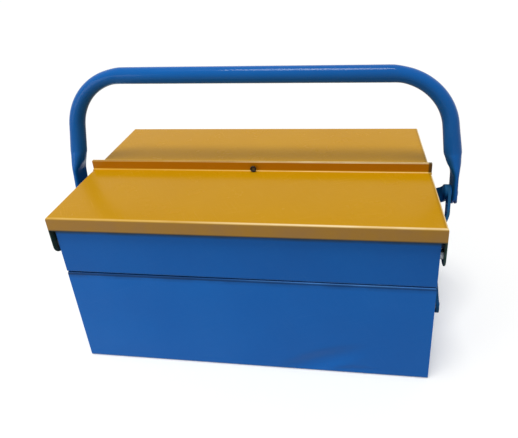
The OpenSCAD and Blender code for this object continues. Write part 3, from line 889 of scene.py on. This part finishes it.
def tube_section(thickness, flat, inset):
    """Points round one section, from a round tube to a flat one with half round edges.
    A squeezed tube grows as wide as the length of its wall asks."""
    size = sizes()
    radius = size.tube_diameter / 2
    squeeze = radius - thickness / 2
    flat_growth = (size.flat_width / 2 - radius) / (radius - size.flat_thickness / 2)
    a = thickness / 2 - inset
    b = radius + squeeze * (1 + (flat_growth - 1) * flat) - inset
    straight = b - a
    quarter = SECTION_POINTS // 4
    corner = []
    for step in range(quarter):
        share = step / quarter
        turn = share * math.pi / 2
        walked = share * (straight + a * math.pi / 2)
        if walked <= straight:
            flat_x, flat_y = a, walked
        else:
            flat_x = a * math.cos((walked - straight) / a)
            flat_y = straight + a * math.sin((walked - straight) / a)
        corner.append((
            a * math.cos(turn) * (1 - flat) + flat_x * flat,
            b * math.sin(turn) * (1 - flat) + flat_y * flat,
        ))
    first = corner + [(0, b)] + [(-x, y) for x, y in reversed(corner[1:])]
    return first + [(-x, -y) for x, y in first]


def handle_ring(station, side, inset, bend_x, taper_end):
    """One ring of the tube in the frame, for the right or the left half."""
    x, up, turn, thickness, flat = station
    lift = -sizes().grip_tilt * side * min(x / bend_x, 1) * ease((up - taper_end) / (ARM_LENGTH - taper_end))
    lean = Matrix.Rotation(-HANDLE_LEAN, 3, "X")
    points = []
    for across, deep in tube_section(thickness, flat, inset):
        place = Vector((
            side * (x + across * math.cos(turn)), deep, up + lift + across * math.sin(turn),
        ))
        points.append(HANDLE_PIVOT + lean @ place)
    return points


def swept_tube(name, material):
    """The hollow tube as one closed mesh: the outside, the bore and a rim at each tip."""
    stations, bend_x, taper_end = handle_stations()
    whole = [(s, 1) for s in stations] + [(s, -1) for s in reversed(stations[:-1])]
    verts, faces = [], []
    count = SECTION_POINTS
    for inset in (0, sizes().tube_wall):
        for station, side in whole:
            verts += handle_ring(station, side, inset, bend_x, taper_end)
    rings = len(whole)
    bore = rings * count

    def quad(a, b, i, flip):
        """One face between two rings."""
        j = (i + 1) % count
        corners = (a + i, a + j, b + j, b + i)
        return corners[::-1] if flip else corners

    for ring in range(rings - 1):
        for i in range(count):
            faces.append(quad(ring * count, (ring + 1) * count, i, False))
            faces.append(quad(bore + ring * count, bore + (ring + 1) * count, i, True))
    last = (rings - 1) * count
    for i in range(count):
        faces.append(quad(0, bore, i, True))
        faces.append(quad(last, bore + last, i, False))
    return mesh_object(name, verts, faces, material)


def tip_cutter(side):
    """What the press cuts off a flattened end: the metal outside its round tip, and the rivet's hole."""
    reach, tip, beyond = 22 * MM, sizes().flat_width / 2, 8 * MM
    turns = [math.pi * k / ROUND_POINTS for k in range(1, ROUND_POINTS)]
    outside = [(-reach, 0), (-reach, -reach), (reach, -reach), (reach, 0), (tip, 0)]
    outside += [(tip * math.cos(t), -tip * math.sin(t)) for t in turns]
    outside.append((-tip, 0))
    lean = Matrix.Rotation(-HANDLE_LEAN, 3, "X")
    leaned = [
        [(HANDLE_PIVOT + lean @ Vector((0, y, up))).yz for y, up in outline]
        for outline in (outside, circle(0, 0, HANDLE_RIVET_HOLE))
    ]
    return prisms("tip_cutter", leaned, side * (FLAT_MIDDLE - beyond), side * (FLAT_MIDDLE + beyond))


# Operators

class TOOLBOX_OT_boxes(bpy.types.Operator):
    """Finishes the lower box and the two trays"""

    bl_idname = "toolbox.boxes"
    bl_label = "Boxes"

    def execute(self, context):
        dress(BODY_NODES, "blue_enamel_baked_on_sheet")
        return {"FINISHED"}


class TOOLBOX_OT_links(bpy.types.Operator):
    """Finishes the links"""

    bl_idname = "toolbox.links"
    bl_label = "Links"

    def execute(self, context):
        dress(LINK_NODES, "blue_enamel_baked_on_links")
        return {"FINISHED"}


class TOOLBOX_OT_stays(bpy.types.Operator):
    """Makes the stays with their soft bends, and finishes them and their painted rivets"""

    bl_idname = "toolbox.stays"
    bl_label = "Stays"

    def execute(self, context):
        dress(STAY_NODES + PAINTED_RIVET_NODES, "blue_enamel_baked_on_tube")
        size = sizes()
        for half, way, bend, lean in (
            ("front", -1, size.front_stay_bend, size.front_stay_lean), ("rear", 1, size.rear_stay_bend, 0),
        ):
            for name, side in (("left", -1), ("right", 1)):
                node = f"{half}_stay_{name}"
                stay = bent_stay(f"{node}_bar", node, way, side, bend, lean)
                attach(stay, "base")
                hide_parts(node)
        return {"FINISHED"}


class TOOLBOX_OT_lids(bpy.types.Operator):
    """Finishes the two lids"""

    bl_idname = "toolbox.lids"
    bl_label = "Lids"

    def execute(self, context):
        dress(LID_NODES, "ochre_enamel_baked_on_sheet")
        return {"FINISHED"}


class TOOLBOX_OT_fasteners(bpy.types.Operator):
    """Finishes the zinc plated rivets, bushes and nut"""

    bl_idname = "toolbox.fasteners"
    bl_label = "Rivets"

    def execute(self, context):
        dress(ZINC_NODES, "zinc_plated_steel_pressed")
        return {"FINISHED"}


class TOOLBOX_OT_knob(bpy.types.Operator):
    """Makes the black knob with its dished face"""

    bl_idname = "toolbox.knob"
    bl_label = "Knob"

    def execute(self, context):
        dress(("knob",), "black_phenolic_moulded")
        knob = dished_knob("dished_knob", finish("black_phenolic_moulded"))
        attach(knob, "front_lid")
        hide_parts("knob")
        return {"FINISHED"}


class TOOLBOX_OT_handle(bpy.types.Operator):
    """Makes the bent tube with its flattened ends"""

    bl_idname = "toolbox.handle"
    bl_label = "Handle"

    def execute(self, context):
        dress(("handle_tube",), "blue_enamel_baked_on_tube")
        tube = swept_tube("handle_bent_tube", finish("blue_enamel_baked_on_tube"))
        turn_outward(tube)
        for side in (1, -1):
            cut_away(tube, tip_cutter(side))
        crisp_edges(tube, degrees=40)
        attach(tube, "handle")
        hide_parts("handle_tube")
        return {"FINISHED"}


# The stage: a plain studio, with the camera where the photograph was taken

# A white surface that faces the overhead light gets this level of it, and this much from all round
OVERHEAD_LEVEL = 0.64
AMBIENT_LEVEL = 0.32
OVERHEAD_TURN = (math.radians(9), math.radians(-3), 0)
OVERHEAD_SPREAD = math.radians(22)
FILL_WATTS = 2.3
FILL_SIDE = 0.6
FILL_PLACE = Vector((-0.8, -0.75, 0.45))
FILL_TARGET = Vector((-0.1, 0, 0.12))
# Added to the floor's own white, so that it meets the white surroundings with no edge
FLOOR_GLOW = 0.2
FLOOR_HALF = 6.0

CAMERA_PLACE = Vector((111.98, -516.16, 470.44)) * MM
CAMERA_TURN = (math.radians(64.839), math.radians(3.436), math.radians(7.888))
FRAME_WIDTH_PX = 518
FRAME_HEIGHT_PX = 438
FOCAL_PX = 487.9
AXIS_PX = (275, 150)
SENSOR_WIDTH = 36


def make_camera():
    """Camera at the photograph's place, with the shift that its cropping needs."""
    data = bpy.data.cameras.new("camera")
    data.sensor_width = SENSOR_WIDTH
    data.lens = FOCAL_PX * SENSOR_WIDTH / FRAME_WIDTH_PX
    data.shift_x = (FRAME_WIDTH_PX / 2 - AXIS_PX[0]) / FRAME_WIDTH_PX
    data.shift_y = (AXIS_PX[1] - FRAME_HEIGHT_PX / 2) / FRAME_WIDTH_PX
    camera = bpy.data.objects.new("camera", data)
    camera.location = CAMERA_PLACE
    camera.rotation_euler = CAMERA_TURN
    bpy.context.scene.collection.objects.link(camera)
    bpy.context.scene.camera = camera


def make_lights():
    """A wide soft light overhead, and a soft box that fills from the left."""
    overhead = bpy.data.lights.new("overhead", "SUN")
    overhead.energy = OVERHEAD_LEVEL * math.pi
    overhead.angle = OVERHEAD_SPREAD
    fill = bpy.data.lights.new("left_fill", "AREA")
    fill.shape = "RECTANGLE"
    fill.size = fill.size_y = FILL_SIDE
    fill.energy = FILL_WATTS
    toward = (FILL_TARGET - FILL_PLACE).to_track_quat("-Z", "Y").to_euler()
    for data, place, turn in ((overhead, (0, 0, 0), OVERHEAD_TURN), (fill, FILL_PLACE, toward)):
        light = bpy.data.objects.new(data.name, data)
        light.location = place
        light.rotation_euler = turn
        bpy.context.scene.collection.objects.link(light)


def seen_ray(tree):
    """1 for the camera's, gloss and glass rays, which see the white surroundings, and 0 for the rest."""
    path = add_node(tree, "LightPath").outputs
    seen = add_node(tree, "Math", {0: path["Is Camera Ray"], 1: path["Is Glossy Ray"]}, operation="MAXIMUM")
    return add_node(tree, "Math", {0: seen, 1: path["Is Transmission Ray"]}, operation="MAXIMUM")


def make_floor():
    """Plain pale floor, wide enough for every view. It looks white and keeps the toolbox's
    shadow, and throws back only a plain share of the light."""
    material, tree = empty_material("pale_floor_matt")
    pale = add_node(tree, "BsdfDiffuse", {"Color": linear("#f0f0ee")})
    glow = add_node(tree, "Emission", {"Color": linear("#ffffff"), "Strength": FLOOR_GLOW})
    white = add_node(tree, "AddShader", {0: pale, 1: glow})
    plain = add_node(tree, "BsdfDiffuse", {"Color": linear("#9a9a98")})
    mix = add_node(tree, "MixShader", {0: seen_ray(tree), 1: plain, 2: white})
    add_node(tree, "OutputMaterial", {"Surface": mix})
    corners = [(x * FLOOR_HALF, y * FLOOR_HALF, 0) for x, y in ((-1, -1), (1, -1), (1, 1), (-1, 1))]
    floor = mesh_object("floor", corners, [(0, 1, 2, 3)], material)


def make_world():
    """White where the camera, gloss or glass looks past the floor, and an even soft light elsewhere."""
    world = bpy.data.worlds.new("studio")
    world.use_nodes = True
    bpy.context.scene.world = world
    tree = world.node_tree
    tree.nodes.clear()
    ambient = add_node(tree, "Background", {"Color": linear("#ffffff"), "Strength": AMBIENT_LEVEL})
    white = add_node(tree, "Background", {"Color": linear("#ffffff"), "Strength": 1.0})
    mix = add_node(tree, "MixShader", {0: seen_ray(tree), 1: ambient, 2: white})
    add_node(tree, "OutputWorld", {"Surface": mix})


class TOOLBOX_OT_stage(bpy.types.Operator):
    """Makes the camera, the lights, the floor and the white surroundings"""

    bl_idname = "toolbox.stage"
    bl_label = "Stage"

    def execute(self, context):
        context.scene.view_settings.view_transform = "Standard"
        make_camera()
        make_floor()
        make_world()
        make_lights()
        return {"FINISHED"}


class TOOLBOX_PT_panel(bpy.types.Panel):
    """Lists the toolbox's sizes, colours and pieces"""

    bl_idname = "TOOLBOX_PT_panel"
    bl_label = "Toolbox"
    bl_space_type = "VIEW_3D"
    bl_region_type = "UI"
    bl_category = "Toolbox"

    def draw(self, context):
        for group in (context.scene.toolbox_sizes, context.scene.toolbox_colours):
            for name in group.__annotations__:
                self.layout.prop(group, name)
        for operator in OPERATORS:
            self.layout.operator(operator.bl_idname)


OPERATORS = (
    TOOLBOX_OT_stage, TOOLBOX_OT_boxes, TOOLBOX_OT_links, TOOLBOX_OT_stays, TOOLBOX_OT_lids,
    TOOLBOX_OT_fasteners, TOOLBOX_OT_knob, TOOLBOX_OT_handle,
)
CLASSES = (ToolboxSizes, ToolboxColours, *OPERATORS, TOOLBOX_PT_panel)


def register():
    """Registers the classes and the scene's sizes and colours."""
    for item in CLASSES:
        bpy.utils.register_class(item)
    bpy.types.Scene.toolbox_sizes = PointerProperty(type=ToolboxSizes)
    bpy.types.Scene.toolbox_colours = PointerProperty(type=ToolboxColours)


def unregister():
    """Takes back what register adds."""
    del bpy.types.Scene.toolbox_colours
    del bpy.types.Scene.toolbox_sizes
    for item in reversed(CLASSES):
        bpy.utils.unregister_class(item)


def main():
    """Dresses the frame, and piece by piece."""
    register()
    bpy.ops.toolbox.stage()
    bpy.ops.toolbox.boxes()
    bpy.ops.toolbox.links()
    bpy.ops.toolbox.stays()
    bpy.ops.toolbox.lids()
    bpy.ops.toolbox.fasteners()
    bpy.ops.toolbox.knob()
    bpy.ops.toolbox.handle()


if __name__ == "__main__":
    main()
